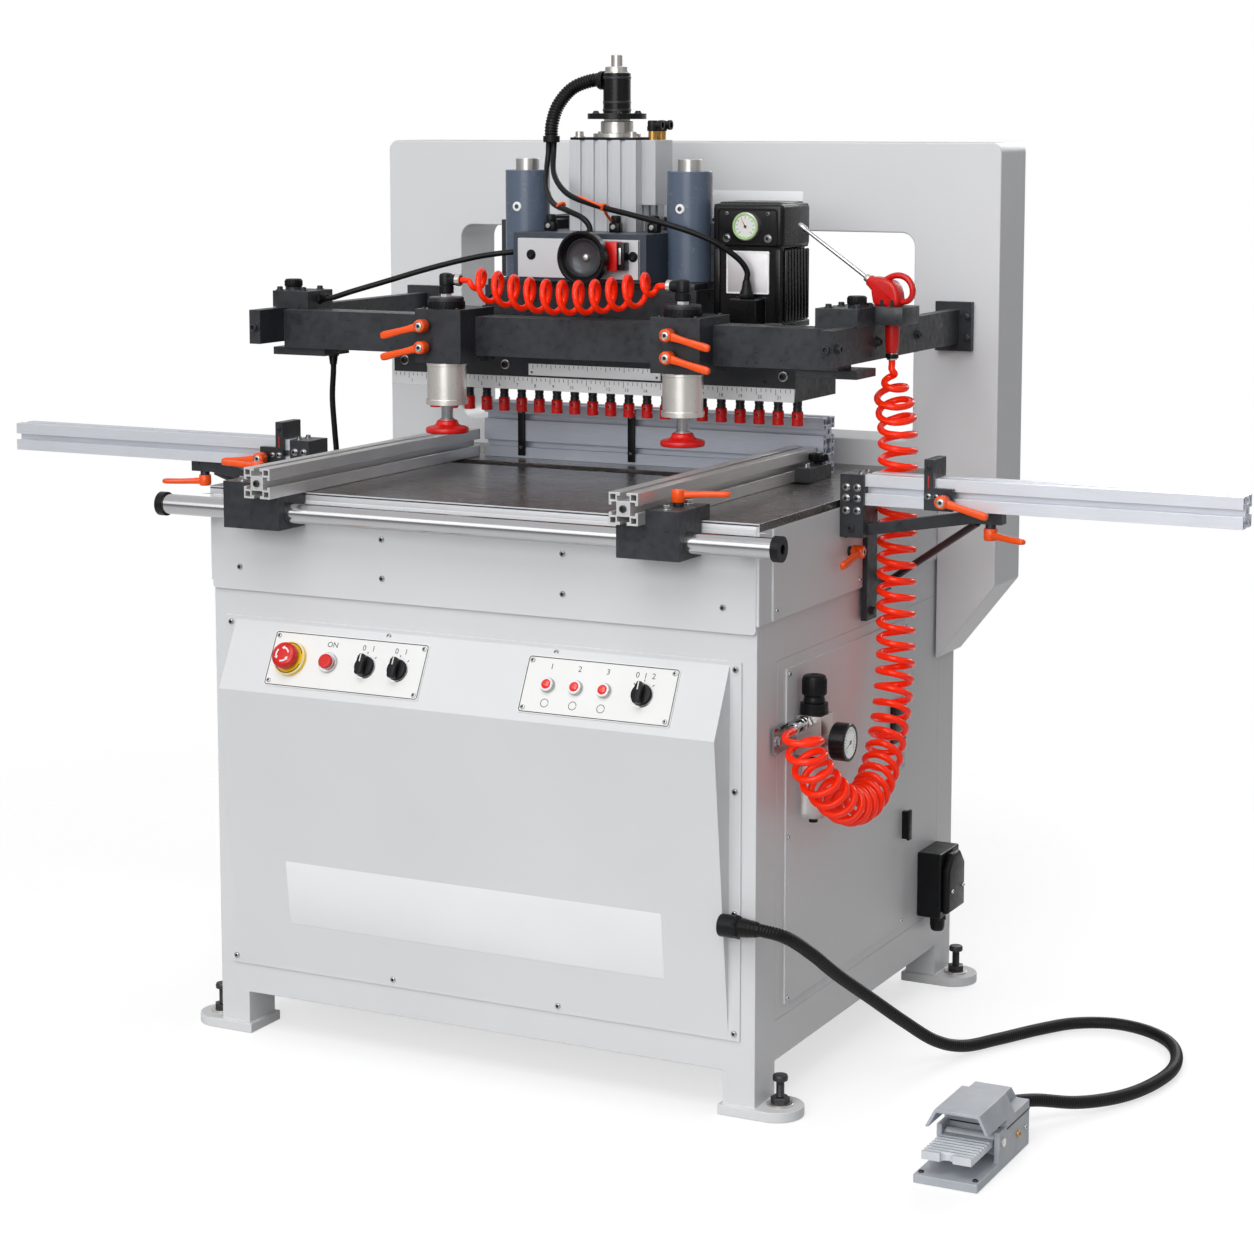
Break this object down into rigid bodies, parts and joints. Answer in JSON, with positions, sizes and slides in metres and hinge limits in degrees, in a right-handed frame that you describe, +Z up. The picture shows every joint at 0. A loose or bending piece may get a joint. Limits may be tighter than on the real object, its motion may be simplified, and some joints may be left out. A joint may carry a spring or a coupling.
{
  "type": "line boring machine",
  "caption": "Floor-standing line boring machine: cabinet, table with fences, portal with a row of drill spindles, air hold-downs, extension rails, curly hose and foot pedal.",
  "frame": {"origin": "on the floor under the middle of the cabinet, between its four feet", "axes": "+X to the operator's right along the table and the rails, +Y to the back, +Z up"},
  "size_m": [2.102, 0.92, 1.497],
  "materials": {
    "white_paint": "satin powder coat",
    "grey_paint": "satin powder coat",
    "table_paint": "satin",
    "dark_steel": "satin black",
    "profile_aluminium": "anodised",
    "bright_steel": "ground",
    "spindle_red": "satin",
    "red_plastic": "gloss",
    "orange_plastic": "satin",
    "orange_hose": "gloss",
    "black_plastic": "satin",
    "black_rubber": "matte",
    "panel_white": "satin",
    "pedal_grey": "satin",
    "treadle_metal": "cast"
  },
  "bodies": {
    "frame": {"base_frame": "white_paint", "fasteners": "bright_steel", "front_cover": "white_paint", "table_housing": "grey_paint", "side_panels": "grey_paint", "service_cover": "grey_paint", "table_plate": "table_paint", "rear_fence": "profile_aluminium", "portal_frame": "white_paint", "guide_bar": "bright_steel", "hold_down_frame": "dark_steel", "head_bracket": "white_paint", "head_yoke": "dark_steel", "guide_housings": "dark_steel", "air_cylinder": "profile_aluminium", "warning_horn": "black_plastic", "extension_rails": "profile_aluminium", "rail_supports": "dark_steel", "control_panels": "panel_white", "regulator_body": "bright_steel", "inlet_fittings": "black_plastic", "foot_hose": "black_rubber", "pedal_housing": "pedal_grey", "air_hose": "orange_hose", "air_gun": "red_plastic", "head_cables": "black_rubber", "motor_cable": "black_rubber", "left_clamp_hose": "orange_hose", "right_clamp_hose": "orange_hose"},
    "head": {"gearbox": "dark_steel", "spindles": "spindle_red", "motor": "dark_steel", "guide_rods": "bright_steel"},
    "left_carrier": {"left_clamp_carrier": "dark_steel"},
    "right_carrier": {"right_clamp_carrier": "dark_steel"},
    "left_foot": {"left_clamp_foot": "red_plastic"},
    "right_foot": {"right_clamp_foot": "red_plastic"},
    "left_upper_lever": {"left_upper_lever": "orange_plastic"},
    "left_lower_lever": {"left_lower_lever": "orange_plastic"},
    "right_upper_lever": {"right_upper_lever": "orange_plastic"},
    "right_lower_lever": {"right_lower_lever": "orange_plastic"},
    "left_fence": {"left_fence": "profile_aluminium"},
    "right_fence": {"right_fence": "profile_aluminium"},
    "left_fence_lever": {"left_fence_lever": "orange_plastic"},
    "right_fence_lever": {"right_fence_lever": "orange_plastic"},
    "left_stop": {"left_stop": "dark_steel"},
    "right_stop": {"right_stop": "dark_steel"},
    "left_stop_lever": {"left_stop_lever": "orange_plastic"},
    "right_stop_lever": {"right_stop_lever": "orange_plastic"},
    "left_support_lever": {"left_support_lever": "orange_plastic"},
    "right_support_lever": {"right_support_lever": "orange_plastic"},
    "side_lever": {"side_lever": "orange_plastic"},
    "estop": {"estop_button": "red_plastic"},
    "start": {"start_button": "red_plastic"},
    "selector_1": {"selector_1": "black_plastic"},
    "selector_2": {"selector_2": "black_plastic"},
    "selector_3": {"selector_3": "black_plastic"},
    "regulator_knob": {"regulator_knob": "black_plastic"},
    "depth_knob": {"depth_knob": "bright_steel"},
    "treadle": {"treadle": "treadle_metal"}
  },
  "joints": [
    {"name": "head_stroke", "type": "slide", "parent": "frame", "child": "head", "axis": [0, 0, -1], "range_m": [0, 0.036], "deforming": ["motor_cable"]},
    {"name": "left_clamp_slide", "type": "slide", "parent": "frame", "child": "left_carrier", "axis": [1, 0, 0], "range_m": [-0.07, 0.07], "deforming": ["left_clamp_hose"]},
    {"name": "right_clamp_slide", "type": "slide", "parent": "frame", "child": "right_carrier", "axis": [1, 0, 0], "range_m": [-0.07, 0], "deforming": ["right_clamp_hose"]},
    {"name": "left_clamp_stroke", "type": "slide", "parent": "left_carrier", "child": "left_foot", "axis": [0, 0, -1], "range_m": [0, 0.06]},
    {"name": "right_clamp_stroke", "type": "slide", "parent": "right_carrier", "child": "right_foot", "axis": [0, 0, -1], "range_m": [0, 0.06]},
    {"name": "left_upper_lever_turn", "type": "hinge", "parent": "left_carrier", "child": "left_upper_lever", "pos_m": [-0.185, -0.205, 1.0874], "axis": [0, -1, 0], "range_deg": [-90, 0]},
    {"name": "left_lower_lever_turn", "type": "hinge", "parent": "left_carrier", "child": "left_lower_lever", "pos_m": [-0.185, -0.205, 1.0546], "axis": [0, -1, 0], "range_deg": [0, 90]},
    {"name": "right_upper_lever_turn", "type": "hinge", "parent": "right_carrier", "child": "right_upper_lever", "pos_m": [0.23, -0.205, 1.0874], "axis": [0, -1, 0], "range_deg": [0, 90]},
    {"name": "right_lower_lever_turn", "type": "hinge", "parent": "right_carrier", "child": "right_lower_lever", "pos_m": [0.23, -0.205, 1.0546], "axis": [0, -1, 0], "range_deg": [-90, 0]},
    {"name": "left_fence_slide", "type": "slide", "parent": "frame", "child": "left_fence", "axis": [1, 0, 0], "range_m": [-0.05, 0]},
    {"name": "right_fence_slide", "type": "slide", "parent": "frame", "child": "right_fence", "axis": [1, 0, 0], "range_m": [0, 0.05]},
    {"name": "left_fence_lever_turn", "type": "hinge", "parent": "left_fence", "child": "left_fence_lever", "pos_m": [-0.3525, -0.41667, 0.8683], "axis": [0, 0, 1], "range_deg": [-60, 60]},
    {"name": "right_fence_lever_turn", "type": "hinge", "parent": "right_fence", "child": "right_fence_lever", "pos_m": [0.3445, -0.41667, 0.8683], "axis": [0, 0, 1], "range_deg": [-60, 50]},
    {"name": "left_stop_slide", "type": "slide", "parent": "frame", "child": "left_stop", "axis": [1, 0, 0], "range_m": [-0.45, 0]},
    {"name": "right_stop_slide", "type": "slide", "parent": "frame", "child": "right_stop", "axis": [1, 0, 0], "range_m": [-0.08, 0.4]},
    {"name": "left_stop_lever_turn", "type": "hinge", "parent": "left_stop", "child": "left_stop_lever", "pos_m": [-0.541, -0.1183, 0.857], "axis": [0, -1, 0], "range_deg": [-45, 45]},
    {"name": "right_stop_lever_turn", "type": "hinge", "parent": "right_stop", "child": "right_stop_lever", "pos_m": [0.624, -0.1183, 0.857], "axis": [0, -1, 0], "range_deg": [-45, 45]},
    {"name": "left_support_lever_turn", "type": "hinge", "parent": "frame", "child": "left_support_lever", "pos_m": [-0.681, -0.0875, 0.824], "axis": [0, 0, -1], "range_deg": [-60, 60]},
    {"name": "right_support_lever_turn", "type": "hinge", "parent": "frame", "child": "right_support_lever", "pos_m": [0.681, -0.0875, 0.824], "axis": [0, 0, -1], "range_deg": [-60, 60]},
    {"name": "side_lever_turn", "type": "hinge", "parent": "frame", "child": "side_lever", "pos_m": [0.459, -0.078, 0.768], "axis": [1, 0, 0], "range_deg": [0, 60]},
    {"name": "estop_press", "type": "slide", "parent": "frame", "child": "estop", "axis": [0, 0.8908, -0.4545], "range_m": [0, 0.005], "stiffness_N_per_m": 600, "springref_m": -0.003},
    {"name": "start_press", "type": "slide", "parent": "frame", "child": "start", "axis": [0, 0.8908, -0.4545], "range_m": [0, 0.003], "stiffness_N_per_m": 500, "springref_m": -0.003},
    {"name": "selector_1_turn", "type": "hinge", "parent": "frame", "child": "selector_1", "pos_m": [-0.167, -0.417, 0.598], "axis": [0, -0.8908, 0.4545], "range_deg": [-45, 45]},
    {"name": "selector_2_turn", "type": "hinge", "parent": "frame", "child": "selector_2", "pos_m": [-0.111, -0.417, 0.598], "axis": [0, -0.8908, 0.4545], "range_deg": [-45, 45]},
    {"name": "selector_3_turn", "type": "hinge", "parent": "frame", "child": "selector_3", "pos_m": [0.289, -0.417, 0.598], "axis": [0, -0.8908, 0.4545], "range_deg": [-45, 45]},
    {"name": "regulator_turn", "type": "hinge", "parent": "frame", "child": "regulator_knob", "pos_m": [0.4765, -0.2445, 0.574], "axis": [0, 0, 1], "continuous": true},
    {"name": "depth_knob_turn", "type": "hinge", "parent": "frame", "child": "depth_knob", "pos_m": [0, 0.07, 1.469], "axis": [0, 0, 1], "continuous": true},
    {"name": "treadle_press", "type": "hinge", "parent": "frame", "child": "treadle", "pos_m": [0.783, -0.413, 0.038], "axis": [1, 0, 0], "range_deg": [0, 6], "stiffness_Nm_per_rad": 3, "springref_deg": -6.88}
  ]
}
